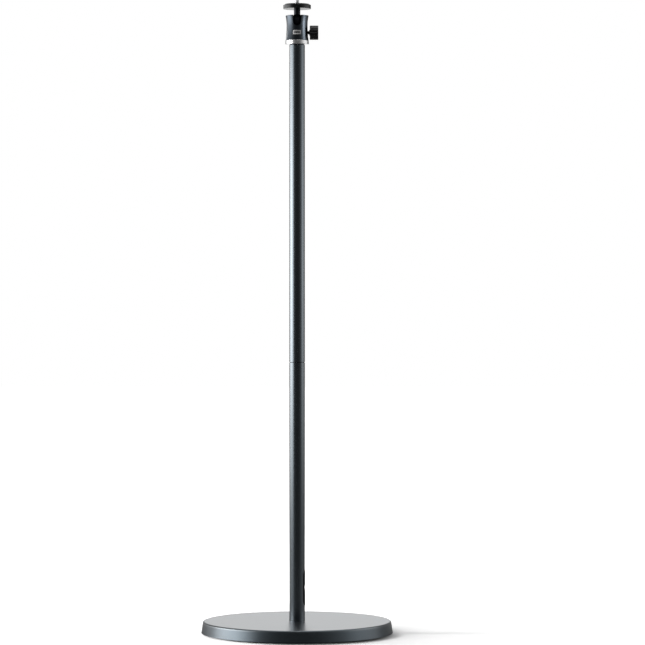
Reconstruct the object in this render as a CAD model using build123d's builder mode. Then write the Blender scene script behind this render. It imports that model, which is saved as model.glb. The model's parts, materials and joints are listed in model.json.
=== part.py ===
from build123d import *
import math

# Floor stand with a small ball head. Millimetres, +Z up.
# The origin is on the floor, on the pole's axis. The lock knob points along +X,
# and the drop notch of the head faces -Y.

# Fits and clearances
press_gap = 0.05  # radial room of a plug pressed or screwed into its bore
running_gap = 0.08  # radial room of a piece that turns or slides in its bore
ball_gap = 0.10  # room between the ball and what holds it
seat_gap = 0.20  # room between two flat faces that turn on each other
loose_gap = 0.30  # room round a piece that lies free in its housing

# Base
base_diameter = 270.0
cover_height = 16.2
cover_draft = 2.5  # how far the skirt leans in from bottom to top
cover_wall = 1.5
cover_edge_radius = 2.0
foot_ring_thickness = 1.5
foot_ring_width = 25.0
foot_ring_inset = 5.0  # from the rim of the bottom plate
bottom_plate_thickness = 1.2
plate_screw_count = 4
plate_screw_radius = 2.0
plate_screw_length = 7.0
plate_screw_socket_width = 2.5  # across the flats
plate_screw_socket_depth = 1.5
plate_screw_margin = 5.0  # between the screw heads and the foot ring

# Bolt that holds the pole to the base
bolt_radius = 4.0
bolt_head_width = 13.0  # across the flats
bolt_head_height = 5.3
bolt_hole_room = 0.5  # radial room in the cover and the weight
bolt_head_recess = 0.2  # between the head and the lower face of the bottom plate
bolt_end_margin = 4.0  # thread of the plug past the end of the bolt
washer_radius = 8.0
washer_thickness = 1.6
spring_washer_radius = 6.4
spring_washer_thickness = 2.0
spring_washer_slit = 1.2
washer_room = 1.5  # radial room round the washer in its pocket

# Pole
tube_diameter = 22.0
tube_wall = 1.5
lower_tube_length = 364.3
upper_tube_length = 446.4
foot_plug_length = 18.0
top_plug_length = 25.0
plug_chamfer = 1.0
joint_length = 30.0  # of the insert in each tube
joint_collar_thickness = 0.8
top_collar_thickness = 1.0
collar_inset = 0.7  # both collars lie this far inside the tubes' surface
joint_socket_wall = 1.5
joint_spigot_wall = 3.0
joint_thread_margin = 4.0  # the socket is this much longer than the spigot's thread

# Cable outlets, one low at the side and one high at the back
slot_width = 12.0
slot_height = 48.0
slot_to_plug = 4.8  # from the end of a plug to the near end of its slot
cable_hole_radius = 3.5
grommet_lip = 1.0  # overlap of the lips round the slot
grommet_proud = 0.4  # thickness of the outer lip
grommet_depth = 2.0  # thickness of the inner lip

# Base ring of the head
ring_bottom_diameter = 33.6
ring_top_diameter = 33.0
ring_height = 5.4
ring_edge_radius = 0.3
head_stud_radius = 4.0
head_stud_in_plug = 20.0
head_stud_in_ring = 8.0
head_stud_room = 0.5  # past either end of the stud
stud_chamfer = 0.8

# Housing of the head
housing_bottom_diameter = 32.4
housing_waist_diameter = 29.6
housing_top_diameter = 32.6
housing_waist_rise = 21.2  # above the housing's lower face
housing_lip_radius = 0.4
rim_height = 8.1  # from the ball's centre to the housing's upper face
rim_chamfer = 0.6
notch_room = 1.1  # on each side of the stem
notch_drop = 1.2  # from the ball's centre down to the centre of the notch's round end
rim_room = 0.3  # between the rim and the stem at full backward tilt
back_tilt = 25.0  # degrees
grub_radius = 1.5
grub_tip_radius = 1.0
grub_tip_length = 0.8
grub_recess = 0.6  # from the housing's surface to the grub screw
grub_socket_width = 1.5  # across the flats
grub_socket_depth = 1.0
grub_angles = (45.0, 135.0)  # both at the back
groove_depth = 1.0

# Blank plate on the front of the housing
plate_width = 11.4
plate_height = 5.9
plate_drop = 0.5  # from the knob's axis down to the plate's centre
plate_sink = 0.3
plate_proud = 0.2

# Ball and stem
ball_radius = 10.5
stem_radius = 4.55
spigot_radius = 3.0
spigot_length = 3.0

# Clamp
knob_rise = 11.0  # of the knob's axis above the housing's lower face
knob_diameter = 20.0
knob_length = 12.0
knob_clearance = 1.1  # between the knob and the base ring, along the knob's axis
knob_edge_radius = 0.7
knob_flute_count = 14
knob_flute_radius = 1.5
knob_flute_depth = 0.7
knob_hub_radius = 4.0
knob_hub_length = 1.0
knob_end_wall = 3.0  # between the screw and the knob's outer face
lock_screw_radius = 2.5
lock_screw_tip_radius = 0.6
cone_slope = 0.5  # radius gained for each millimetre of length
cone_margin = 0.5  # the cone's base lies this far inside the housing's wall
cone_gap = 0.12  # room between the cone and the piston
piston_height = 7.6
piston_room = 1.0  # under the piston, for its travel
seat_floor = 1.5  # of the seat under the ball
seat_rim_margin = 0.3  # from the seat's rim to the foot of the notch

# Camera platform
platform_diameter = 39.0
platform_thickness = 5.6
platform_clearance = 1.2  # to the housing when tilted flat into the notch
platform_edge_radius = 0.5
platform_recess = 0.4
pad_diameter = 35.0
pad_thickness = 1.6
camera_stud_radius = 3.175  # 1/4 inch
camera_stud_length = 6.0  # above the pad
camera_stud_chamfer = 0.7
camera_stud_neck = 0.6  # the part in the platform is this much slimmer all round
camera_stud_relief = 0.5  # from the pad to the start of the thread

# Radii that follow
tube_radius = tube_diameter / 2
tube_inner_radius = tube_radius - tube_wall
plug_radius = tube_inner_radius - press_gap
collar_radius = tube_radius - collar_inset
joint_thread_radius = tube_inner_radius - joint_socket_wall
joint_bore_radius = joint_thread_radius - joint_spigot_wall
cover_bottom_radius = base_diameter / 2
cover_top_radius = cover_bottom_radius - cover_draft
bolt_hole_radius = bolt_radius + bolt_hole_room
bolt_pocket_radius = washer_radius + washer_room
housing_bore_radius = ball_radius + ball_gap
post_radius = housing_bore_radius - running_gap
piston_radius = housing_bore_radius - running_gap
notch_radius = stem_radius + notch_room
ring_bottom_radius = ring_bottom_diameter / 2
knob_radius = knob_diameter / 2
camera_neck_radius = camera_stud_radius - camera_stud_neck

# Heights above the floor
cover_bottom = foot_ring_thickness
weight_bottom = cover_bottom + bottom_plate_thickness
base_top = cover_bottom + cover_height
weight_top = base_top - cover_wall
bolt_head_bottom = cover_bottom + bolt_head_recess
spring_washer_bottom = bolt_head_bottom + bolt_head_height
washer_bottom = spring_washer_bottom + spring_washer_thickness
bolt_pocket_top = washer_bottom + washer_thickness
foot_plug_top = base_top + foot_plug_length
lower_slot_centre = foot_plug_top + slot_to_plug + slot_height / 2
lower_tube_top = base_top + lower_tube_length
upper_tube_bottom = lower_tube_top + joint_collar_thickness
pole_top = upper_tube_bottom + upper_tube_length
top_plug_bottom = pole_top - top_plug_length
upper_slot_centre = top_plug_bottom - slot_to_plug - slot_height / 2
ring_bottom = pole_top + top_collar_thickness
ring_top = ring_bottom + ring_height
housing_bottom = ring_top + seat_gap
housing_waist = housing_bottom + housing_waist_rise
knob_axis = housing_bottom + knob_rise
piston_bottom = knob_axis - piston_height / 2
piston_top = knob_axis + piston_height / 2
post_top = piston_bottom - piston_room
groove_centre = (ring_top + post_top) / 2
ball_centre = piston_top + seat_floor + ball_gap + ball_radius
notch_centre = ball_centre - notch_drop
seat_top = notch_centre - notch_radius - seat_rim_margin
housing_top = ball_centre + rim_height
platform_bottom = ball_centre + housing_top_diameter / 2 + platform_clearance
stem_top = platform_bottom - seat_gap
spigot_top = stem_top + spigot_length
platform_top = platform_bottom + platform_thickness
pad_bottom = platform_top - platform_recess
pad_top = pad_bottom + pad_thickness
camera_stud_bottom = spigot_top + seat_gap
camera_thread_bottom = pad_top + camera_stud_relief
camera_stud_top = pad_top + camera_stud_length

# The rim is open just wide enough for the stem to lean back
back_tilt_sine = math.sin(math.radians(back_tilt))
back_tilt_cosine = math.cos(math.radians(back_tilt))
rim_radius = (stem_radius + rim_room + rim_height * back_tilt_sine) / back_tilt_cosine
rim_lip_height = math.sqrt(housing_bore_radius**2 - rim_radius**2)

# Places along the knob's axis
knob_start = ring_bottom_radius + knob_clearance
knob_end = knob_start + knob_length
lock_screw_end = knob_end - knob_end_wall
cone_base = housing_bore_radius + cone_margin
cone_tip = cone_base - (lock_screw_radius - lock_screw_tip_radius) / cone_slope

# Planes that face the two cable outlets, the notch and the knob
lower_outlet_plane = Plane.YZ
upper_outlet_plane = Plane(origin=(0, 0, 0), x_dir=(-1, 0, 0), z_dir=(0, 1, 0))
section_plane = Plane.XZ
notch_plane = Plane.XZ
knob_plane = Plane(origin=(0, 0, knob_axis), x_dir=(0, 1, 0), z_dir=(1, 0, 0))


def cover_inner_radius(height):
    """Radius of the cover's inside at a height, along the leaning skirt."""
    share = (height - cover_bottom) / (weight_top - cover_bottom)
    return cover_bottom_radius - cover_wall - share * cover_draft


def finish(piece, name):
    """Label a finished piece and write its file."""
    piece.part.label = name
    export_step(piece.part, f"parts/{name}.step")


# Base cover: a shallow drawn dish, upside down, with a hole for the bolt
with BuildPart() as base_cover:
    with BuildSketch(section_plane):
        with BuildLine():
            Polyline(
                (bolt_hole_radius, base_top),
                (cover_top_radius, base_top),
                (cover_bottom_radius, cover_bottom),
                (cover_inner_radius(cover_bottom), cover_bottom),
                (cover_inner_radius(weight_top), weight_top),
                (bolt_hole_radius, weight_top),
                close=True,
            )
        make_face()
        rim_corner = vertices().sort_by_distance((cover_top_radius, base_top))[0]
        fillet(rim_corner, radius=cover_edge_radius)
    revolve(axis=Axis.Z)
finish(base_cover, "base_cover")

# Base weight: a cast disc that fills the cover, with a pocket for the bolt head
bottom_plate_radius = cover_inner_radius(weight_bottom) - loose_gap
foot_ring_outer_radius = bottom_plate_radius - foot_ring_inset
foot_ring_inner_radius = foot_ring_outer_radius - foot_ring_width
plate_screw_head_radius = plate_screw_radius + bottom_plate_thickness
plate_screw_circle = foot_ring_inner_radius - plate_screw_margin - plate_screw_head_radius
with BuildPart() as base_weight:
    with BuildSketch(section_plane):
        with BuildLine():
            Polyline(
                (bolt_pocket_radius, weight_bottom),
                (cover_inner_radius(weight_bottom) - loose_gap, weight_bottom),
                (cover_inner_radius(weight_top) - loose_gap, weight_top),
                (bolt_hole_radius, weight_top),
                (bolt_hole_radius, bolt_pocket_top),
                (bolt_pocket_radius, bolt_pocket_top),
                close=True,
            )
        make_face()
    revolve(axis=Axis.Z)
    with BuildSketch(Plane.XY.offset(weight_bottom)):
        with PolarLocations(plate_screw_circle, plate_screw_count):
            Circle(plate_screw_radius + press_gap)
    extrude(amount=plate_screw_length, mode=Mode.SUBTRACT)
finish(base_weight, "base_weight")

# Bottom plate: closes the base, open in the middle for the bolt, with sunk screw holes
with BuildPart() as base_bottom_plate:
    with BuildSketch(Plane.XY.offset(cover_bottom)):
        Circle(bottom_plate_radius)
        Circle(bolt_pocket_radius, mode=Mode.SUBTRACT)
    extrude(amount=bottom_plate_thickness)
    with Locations((0, 0, cover_bottom)):
        with PolarLocations(plate_screw_circle, plate_screw_count):
            Cone(
                plate_screw_head_radius + press_gap,
                plate_screw_radius + press_gap,
                bottom_plate_thickness,
                align=(Align.CENTER, Align.CENTER, Align.MIN),
                mode=Mode.SUBTRACT,
            )
finish(base_bottom_plate, "base_bottom_plate")

# Screws of the bottom plate: sunk heads with a hexagon socket, flush with the plate
with BuildPart() as bottom_plate_screws:
    with Locations((0, 0, cover_bottom)):
        with PolarLocations(plate_screw_circle, plate_screw_count):
            Cone(
                plate_screw_head_radius,
                plate_screw_radius,
                bottom_plate_thickness,
                align=(Align.CENTER, Align.CENTER, Align.MIN),
            )
    with BuildSketch(Plane.XY.offset(weight_bottom)):
        with PolarLocations(plate_screw_circle, plate_screw_count):
            Circle(plate_screw_radius)
    extrude(amount=plate_screw_length)
    with BuildSketch(Plane.XY.offset(cover_bottom)):
        with PolarLocations(plate_screw_circle, plate_screw_count):
            RegularPolygon(radius=plate_screw_socket_width / 2, side_count=6, major_radius=False)
    extrude(amount=plate_screw_socket_depth, mode=Mode.SUBTRACT)
finish(bottom_plate_screws, "bottom_plate_screws")

# Foot ring: a flat soft ring on the bottom plate
with BuildPart() as foot_ring:
    with BuildSketch(Plane.XY):
        Circle(foot_ring_outer_radius)
        Circle(foot_ring_inner_radius, mode=Mode.SUBTRACT)
    extrude(amount=foot_ring_thickness)
finish(foot_ring, "foot_ring")

# Pole bolt: hexagon head below, thread up into the plug of the pole
with BuildPart() as pole_bolt:
    with BuildSketch(Plane.XY.offset(bolt_head_bottom)):
        RegularPolygon(radius=bolt_head_width / 2, side_count=6, major_radius=False)
    extrude(amount=bolt_head_height)
    with BuildSketch(Plane.XY.offset(spring_washer_bottom)):
        Circle(bolt_radius)
    extrude(amount=foot_plug_top - bolt_end_margin - spring_washer_bottom)
    chamfer(edges().group_by(Axis.Z)[-1], length=stud_chamfer)
finish(pole_bolt, "pole_bolt")

# Flat washer against the weight
with BuildPart() as bolt_washer:
    with BuildSketch(Plane.XY.offset(washer_bottom)):
        Circle(washer_radius)
        Circle(bolt_radius + loose_gap, mode=Mode.SUBTRACT)
    extrude(amount=washer_thickness)
finish(bolt_washer, "bolt_washer")

# Split spring washer between the bolt head and the flat washer
with BuildPart() as bolt_spring_washer:
    with BuildSketch(Plane.XY.offset(spring_washer_bottom)):
        Circle(spring_washer_radius)
        Circle(bolt_radius + loose_gap, mode=Mode.SUBTRACT)
        with Locations((spring_washer_radius, 0)):
            Rectangle(2 * spring_washer_radius, spring_washer_slit, mode=Mode.SUBTRACT)
    extrude(amount=spring_washer_thickness)
finish(bolt_spring_washer, "bolt_spring_washer")

# Foot plug: fixed in the foot of the lower tube, threaded for the bolt
with BuildPart() as pole_foot_plug:
    with BuildSketch(Plane.XY.offset(base_top)):
        Circle(plug_radius)
    extrude(amount=foot_plug_length)
    chamfer(edges().group_by(Axis.Z)[-1], length=plug_chamfer)
    with BuildSketch(Plane.XY.offset(base_top)):
        Circle(bolt_radius + press_gap)
    extrude(amount=foot_plug_length, mode=Mode.SUBTRACT)
finish(pole_foot_plug, "pole_foot_plug")


def pole_tube(bottom, length, outlet_plane, slot_centre):
    """Pole section: a round tube with one long slot in the side that the plane faces."""
    with BuildPart() as tube:
        with BuildSketch(Plane.XY.offset(bottom)):
            Circle(tube_radius)
            Circle(tube_inner_radius, mode=Mode.SUBTRACT)
        extrude(amount=length)
        with BuildSketch(outlet_plane):
            with Locations((0, slot_centre)):
                SlotOverall(slot_height, slot_width, rotation=90)
        extrude(amount=tube_diameter, mode=Mode.SUBTRACT)
    return tube


def cable_grommet(tube, outlet_plane, slot_centre):
    """Grommet in a tube's slot: a lip outside, a neck in the wall and a lip inside, with one hole."""
    with BuildPart() as grommet:
        with BuildSketch(outlet_plane):
            with Locations((0, slot_centre)):
                SlotOverall(slot_height + 2 * grommet_lip, slot_width + 2 * grommet_lip, rotation=90)
        extrude(amount=tube_diameter)
        with Locations((0, 0, slot_centre)):
            Cylinder(tube_radius + grommet_proud, 2 * slot_height, mode=Mode.INTERSECT)
            Cylinder(tube_inner_radius - grommet_depth, 2 * slot_height, mode=Mode.SUBTRACT)
        add(tube.part, mode=Mode.SUBTRACT)
        with BuildSketch(outlet_plane):
            with Locations((0, slot_centre)):
                Circle(cable_hole_radius)
        extrude(amount=tube_diameter, mode=Mode.SUBTRACT)
    return grommet


# Pole tubes, each with a grommet in its cable outlet
pole_lower_tube = pole_tube(base_top, lower_tube_length, lower_outlet_plane, lower_slot_centre)
finish(pole_lower_tube, "pole_lower_tube")
lower_cable_grommet = cable_grommet(pole_lower_tube, lower_outlet_plane, lower_slot_centre)
finish(lower_cable_grommet, "lower_cable_grommet")
pole_upper_tube = pole_tube(upper_tube_bottom, upper_tube_length, upper_outlet_plane, upper_slot_centre)
finish(pole_upper_tube, "pole_upper_tube")
upper_cable_grommet = cable_grommet(pole_upper_tube, upper_outlet_plane, upper_slot_centre)
finish(upper_cable_grommet, "upper_cable_grommet")

# Joint socket: a threaded sleeve fixed in the top of the lower tube
with BuildPart() as joint_socket:
    with BuildSketch(Plane.XY.offset(lower_tube_top - joint_length)):
        Circle(plug_radius)
        Circle(joint_thread_radius, mode=Mode.SUBTRACT)
    extrude(amount=joint_length)
finish(joint_socket, "joint_socket")

# Joint spigot: fixed in the foot of the upper tube, with a thread below its collar
with BuildPart() as joint_spigot:
    with BuildSketch(Plane.XY.offset(lower_tube_top - joint_length + joint_thread_margin)):
        Circle(joint_thread_radius - press_gap)
    extrude(amount=joint_length - joint_thread_margin)
    chamfer(edges().group_by(Axis.Z)[0], length=plug_chamfer)
    with BuildSketch(Plane.XY.offset(lower_tube_top)):
        Circle(collar_radius)
    extrude(amount=joint_collar_thickness)
    with BuildSketch(Plane.XY.offset(upper_tube_bottom)):
        Circle(plug_radius)
    extrude(amount=joint_length)
    chamfer(edges().group_by(Axis.Z)[-1], length=plug_chamfer)
    with BuildSketch(Plane.XY.offset(lower_tube_top - joint_length)):
        Circle(joint_bore_radius)
    extrude(amount=2 * joint_length + joint_collar_thickness, mode=Mode.SUBTRACT)
finish(joint_spigot, "joint_spigot")

# Top plug: fixed in the top of the upper tube, with a collar on it and a blind hole for the head's stud
with BuildPart() as pole_top_plug:
    with BuildSketch(Plane.XY.offset(top_plug_bottom)):
        Circle(plug_radius)
    extrude(amount=top_plug_length)
    chamfer(edges().group_by(Axis.Z)[0], length=plug_chamfer)
    with BuildSketch(Plane.XY.offset(pole_top)):
        Circle(collar_radius)
    extrude(amount=top_collar_thickness)
    with BuildSketch(Plane.XY.offset(ring_bottom)):
        Circle(head_stud_radius + press_gap)
    extrude(amount=-(head_stud_in_plug + head_stud_room), mode=Mode.SUBTRACT)
finish(pole_top_plug, "pole_top_plug")

# Head stud: a threaded pin that joins the top plug and the base ring
with BuildPart() as head_stud:
    with BuildSketch(Plane.XY.offset(ring_bottom - head_stud_in_plug)):
        Circle(head_stud_radius)
    extrude(amount=head_stud_in_plug + head_stud_in_ring)
    chamfer(edges().filter_by(GeomType.CIRCLE), length=stud_chamfer)
finish(head_stud, "head_stud")

# Base ring: a polished collar with a grooved post that the housing turns on
groove_half_width = grub_tip_radius + running_gap
with BuildPart() as head_base_ring:
    with BuildSketch(section_plane):
        with BuildLine():
            Polyline(
                (0, ring_bottom),
                (ring_bottom_radius, ring_bottom),
                (ring_top_diameter / 2, ring_top),
                (post_radius, ring_top),
                (post_radius, groove_centre - groove_half_width),
                (post_radius - groove_depth, groove_centre - groove_half_width),
                (post_radius - groove_depth, groove_centre + groove_half_width),
                (post_radius, groove_centre + groove_half_width),
                (post_radius, post_top),
                (0, post_top),
                close=True,
            )
        make_face()
        lower_corner = vertices().sort_by_distance((ring_bottom_radius, ring_bottom))[0]
        upper_corner = vertices().sort_by_distance((ring_top_diameter / 2, ring_top))[0]
        fillet([lower_corner, upper_corner], radius=ring_edge_radius)
    revolve(axis=Axis.Z)
    with BuildSketch(Plane.XY.offset(ring_bottom)):
        Circle(head_stud_radius + press_gap)
    extrude(amount=head_stud_in_ring + head_stud_room, mode=Mode.SUBTRACT)
finish(head_base_ring, "head_base_ring")


def housing_side(offset):
    """Waisted side of the housing, from its lower to its upper edge, moved outwards by an offset."""
    waist = (housing_waist_diameter / 2 + offset, housing_waist)
    lower_edge = (housing_bottom_diameter / 2 + offset, housing_bottom)
    upper_edge = (housing_top_diameter / 2 + offset, housing_top)
    TangentArc(waist, lower_edge, tangent=(0, -1))
    TangentArc(waist, upper_edge, tangent=(0, 1))
    return lower_edge, upper_edge


def housing_profile(offset):
    """Half section of the housing's outer shape, moved outwards by an offset."""
    with BuildSketch(section_plane) as profile:
        with BuildLine():
            lower_edge, upper_edge = housing_side(offset)
            Polyline(lower_edge, (0, housing_bottom), (0, housing_top), upper_edge)
        make_face()
    return profile.sketch


# Front plate: a blank curved plate let into the front of the housing
with BuildPart() as front_plate:
    revolve(housing_profile(plate_proud), axis=Axis.Z)
    with BuildSketch(notch_plane):
        with Locations((0, knob_axis - plate_drop)):
            RectangleRounded(plate_width, plate_height, plate_sink)
    extrude(amount=housing_bottom_diameter, mode=Mode.INTERSECT)
    revolve(housing_profile(-plate_sink), axis=Axis.Z, mode=Mode.SUBTRACT)
finish(front_plate, "front_plate")

# Housing: waisted body, bored from below for the ball, with a drop notch in front
with BuildPart() as head_housing:
    with BuildSketch(section_plane):
        with BuildLine():
            lower_edge, upper_edge = housing_side(0)
            Polyline(
                upper_edge,
                (rim_radius + rim_chamfer, housing_top),
                (rim_radius, housing_top - rim_chamfer),
                (rim_radius, ball_centre + rim_lip_height),
            )
            RadiusArc(
                (rim_radius, ball_centre + rim_lip_height),
                (housing_bore_radius, ball_centre),
                housing_bore_radius,
            )
            Polyline(
                (housing_bore_radius, ball_centre),
                (housing_bore_radius, housing_bottom),
                lower_edge,
            )
        make_face()
        lip_corner = vertices().sort_by_distance(upper_edge)[0]
        fillet(lip_corner, radius=housing_lip_radius)
    revolve(axis=Axis.Z)
    with BuildSketch(notch_plane):
        with Locations((0, notch_centre)):
            Circle(notch_radius)
            Rectangle(2 * notch_radius, housing_top_diameter, align=(Align.CENTER, Align.MIN))
    extrude(amount=housing_top_diameter, mode=Mode.SUBTRACT)
    with BuildSketch(knob_plane):
        Circle(lock_screw_radius + running_gap)
    extrude(amount=housing_top_diameter, mode=Mode.SUBTRACT)
    for angle in grub_angles:
        grub_plane = Plane(origin=(0, 0, groove_centre), z_dir=Vector(1, 0, 0).rotate(Axis.Z, angle))
        with BuildSketch(grub_plane):
            Circle(grub_radius)
        extrude(amount=housing_top_diameter, mode=Mode.SUBTRACT)
    add(front_plate.part, mode=Mode.SUBTRACT)
finish(head_housing, "head_housing")

# Grub screws: their tips run in the groove of the post
grub_end = housing_bottom_diameter / 2 - grub_recess
with BuildPart() as head_grub_screws:
    for angle in grub_angles:
        grub_plane = Plane(origin=(0, 0, groove_centre), z_dir=Vector(1, 0, 0).rotate(Axis.Z, angle))
        with BuildSketch(grub_plane.offset(housing_bore_radius)):
            Circle(grub_radius - press_gap)
        extrude(amount=grub_end - housing_bore_radius)
        with BuildSketch(grub_plane.offset(post_radius - grub_tip_length)):
            Circle(grub_tip_radius)
        extrude(amount=grub_tip_length + running_gap)
        with BuildSketch(grub_plane.offset(grub_end - grub_socket_depth)):
            RegularPolygon(radius=grub_socket_width / 2, side_count=6, major_radius=False)
        extrude(amount=grub_socket_depth, mode=Mode.SUBTRACT)
finish(head_grub_screws, "head_grub_screws")

# Lock piston: lifted by the cone of the lock screw
with BuildPart() as lock_piston:
    with BuildSketch(Plane.XY.offset(piston_bottom)):
        Circle(piston_radius)
    extrude(amount=piston_height)
    with BuildSketch(section_plane):
        with Locations((0, knob_axis)):
            Polygon(
                (cone_tip - cone_gap, 0),
                (cone_tip - cone_gap, lock_screw_tip_radius + cone_gap),
                (cone_base, lock_screw_radius + cone_gap),
                (cone_base, 0),
                align=None,
            )
    revolve(axis=Axis((0, 0, knob_axis), (1, 0, 0)), mode=Mode.SUBTRACT)
finish(lock_piston, "lock_piston")

# Ball seat: a cup on the piston that clamps the ball against the rim
with BuildPart() as ball_seat:
    with BuildSketch(Plane.XY.offset(piston_top)):
        Circle(piston_radius)
    extrude(amount=seat_top - piston_top)
    with Locations((0, 0, ball_centre)):
        Sphere(ball_radius + ball_gap, mode=Mode.SUBTRACT)
finish(ball_seat, "ball_seat")

# Ball and stem in one piece, with a spigot that the platform turns on
with BuildPart() as ball_stem:
    with Locations((0, 0, ball_centre)):
        Sphere(ball_radius)
    with BuildSketch(Plane.XY.offset(ball_centre)):
        Circle(stem_radius)
    extrude(amount=stem_top - ball_centre)
    with BuildSketch(Plane.XY.offset(stem_top)):
        Circle(spigot_radius)
    extrude(amount=spigot_length)
finish(ball_stem, "ball_stem")

# Lock screw: a cone at its inner end, and a plain shank that carries the knob
with BuildPart() as lock_screw:
    with BuildSketch(section_plane):
        with Locations((0, knob_axis)):
            Polygon(
                (cone_tip, 0),
                (cone_tip, lock_screw_tip_radius),
                (cone_base, lock_screw_radius),
                (lock_screw_end, lock_screw_radius),
                (lock_screw_end, 0),
                align=None,
            )
    revolve(axis=Axis((0, 0, knob_axis), (1, 0, 0)))
finish(lock_screw, "lock_screw")

# Lock knob: a fluted grip with a short hub, bored for the screw
with BuildPart() as lock_knob:
    with BuildSketch(knob_plane.offset(knob_start)):
        Circle(knob_radius)
    extrude(amount=knob_length)
    fillet(edges().filter_by(GeomType.CIRCLE), radius=knob_edge_radius)
    with BuildSketch(knob_plane.offset(knob_start - knob_hub_length)):
        Circle(knob_hub_radius)
    extrude(amount=knob_hub_length)
    with BuildSketch(knob_plane.offset(knob_start)):
        with PolarLocations(knob_radius + knob_flute_radius - knob_flute_depth, knob_flute_count):
            Circle(knob_flute_radius)
    extrude(amount=knob_length, mode=Mode.SUBTRACT)
    with BuildSketch(knob_plane):
        Circle(lock_screw_radius + running_gap)
    extrude(amount=lock_screw_end, mode=Mode.SUBTRACT)
finish(lock_knob, "lock_knob")

# Platform disc: round top edge, bored below for the stem and above for the camera screw
with BuildPart() as platform_disc:
    with BuildSketch(Plane.XY.offset(platform_bottom)):
        Circle(platform_diameter / 2)
    extrude(amount=platform_thickness)
    fillet(edges().group_by(Axis.Z)[-1], radius=platform_edge_radius)
    with BuildSketch(Plane.XY.offset(pad_bottom)):
        Circle(pad_diameter / 2)
    extrude(amount=platform_recess, mode=Mode.SUBTRACT)
    with BuildSketch(Plane.XY.offset(platform_bottom)):
        Circle(spigot_radius + running_gap)
    extrude(amount=camera_stud_bottom - platform_bottom, mode=Mode.SUBTRACT)
    with BuildSketch(Plane.XY.offset(camera_stud_bottom)):
        Circle(camera_neck_radius + press_gap)
    extrude(amount=pad_bottom - camera_stud_bottom, mode=Mode.SUBTRACT)
finish(platform_disc, "platform_disc")

# Platform pad: a soft disc round the camera screw
with BuildPart() as platform_pad:
    with BuildSketch(Plane.XY.offset(pad_bottom)):
        Circle(pad_diameter / 2 - press_gap)
        Circle(camera_stud_radius + loose_gap, mode=Mode.SUBTRACT)
    extrude(amount=pad_thickness)
finish(platform_pad, "platform_pad")

# Camera stud: the screw that a camera or a projector is turned on to
with BuildPart() as camera_stud:
    with BuildSketch(Plane.XY.offset(camera_stud_bottom)):
        Circle(camera_neck_radius)
    extrude(amount=camera_thread_bottom - camera_stud_bottom)
    with BuildSketch(Plane.XY.offset(camera_thread_bottom)):
        Circle(camera_stud_radius)
    extrude(amount=camera_stud_top - camera_thread_bottom)
    chamfer(edges().group_by(Axis.Z)[-1], length=camera_stud_chamfer)
finish(camera_stud, "camera_stud")
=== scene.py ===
# %% [markdown]
# # A floor stand with a small ball head
# The stand is a round weighted base, a slim pole in two sections and a ball head that ends in a
# camera screw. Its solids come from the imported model, which is the fixed frame of this scene, in
# metres with +Z up. This lesson dresses that frame: it sets the camera, gives each piece a finish
# made of shader nodes, and adds the threads, ribs and soft lips that the plain solids leave out.

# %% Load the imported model
import json
import math

import bpy
import numpy as np
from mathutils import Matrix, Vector


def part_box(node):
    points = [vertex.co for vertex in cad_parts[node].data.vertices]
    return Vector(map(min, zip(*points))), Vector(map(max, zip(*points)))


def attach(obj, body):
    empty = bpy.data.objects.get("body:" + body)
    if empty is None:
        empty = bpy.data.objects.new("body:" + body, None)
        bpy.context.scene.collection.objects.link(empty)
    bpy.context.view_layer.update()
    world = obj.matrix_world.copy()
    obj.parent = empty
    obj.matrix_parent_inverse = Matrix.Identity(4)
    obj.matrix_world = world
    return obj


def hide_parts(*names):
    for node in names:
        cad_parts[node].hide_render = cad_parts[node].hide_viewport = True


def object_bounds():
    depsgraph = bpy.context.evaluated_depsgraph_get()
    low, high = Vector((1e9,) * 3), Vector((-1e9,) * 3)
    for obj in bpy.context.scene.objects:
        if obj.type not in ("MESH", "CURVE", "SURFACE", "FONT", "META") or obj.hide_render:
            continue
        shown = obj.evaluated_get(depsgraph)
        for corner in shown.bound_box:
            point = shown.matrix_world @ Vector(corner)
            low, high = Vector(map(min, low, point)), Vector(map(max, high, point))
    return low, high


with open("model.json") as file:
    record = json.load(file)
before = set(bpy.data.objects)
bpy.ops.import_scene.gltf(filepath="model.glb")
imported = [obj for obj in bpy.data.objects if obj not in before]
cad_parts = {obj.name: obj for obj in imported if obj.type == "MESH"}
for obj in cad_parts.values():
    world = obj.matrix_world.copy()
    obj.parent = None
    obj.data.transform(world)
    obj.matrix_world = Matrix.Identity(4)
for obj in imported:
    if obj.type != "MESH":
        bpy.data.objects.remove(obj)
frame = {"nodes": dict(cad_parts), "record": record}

cad_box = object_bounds()
stand_height = cad_box[1].z
base_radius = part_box("base_cover")[1].x
print(f"{len(frame['nodes'])} pieces, {stand_height:.3f} m tall, base {2 * base_radius:.3f} m wide")

# %% [markdown]
# ## The camera
# A stand is photographed from far off with a long lens, so that its pole stays straight and its
# base becomes a thin ellipse. The camera looks along +Y from about half the stand's height, tilted
# down by less than half a degree. It stands a little to the right of the pole, which puts the pole
# left of the picture's middle without a shifted lens.

# %% Camera
camera_place = (0.0358, -4.25, 0.470)
camera_lens_mm = 168.25
camera_tilt_deg = 0.425

camera = bpy.data.objects.new("camera", bpy.data.cameras.new("camera"))
camera.data.lens = camera_lens_mm
camera.location = camera_place
camera.rotation_euler = (math.radians(90 - camera_tilt_deg), 0, 0)
bpy.context.scene.collection.objects.link(camera)
bpy.context.scene.camera = camera
print(f"camera {-camera_place[1]:.2f} m away, {camera_lens_mm:.0f} mm lens")

# %% [markdown]
# ## Shader maths as plain Python
# A finish is a formula: how the colour, the gloss and the fine relief change over the surface.
# Blender writes such a formula as nodes. Placing Math nodes by hand hides the formula, so a small
# class wraps a node's output and lets Python's own operators add the nodes.

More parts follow.
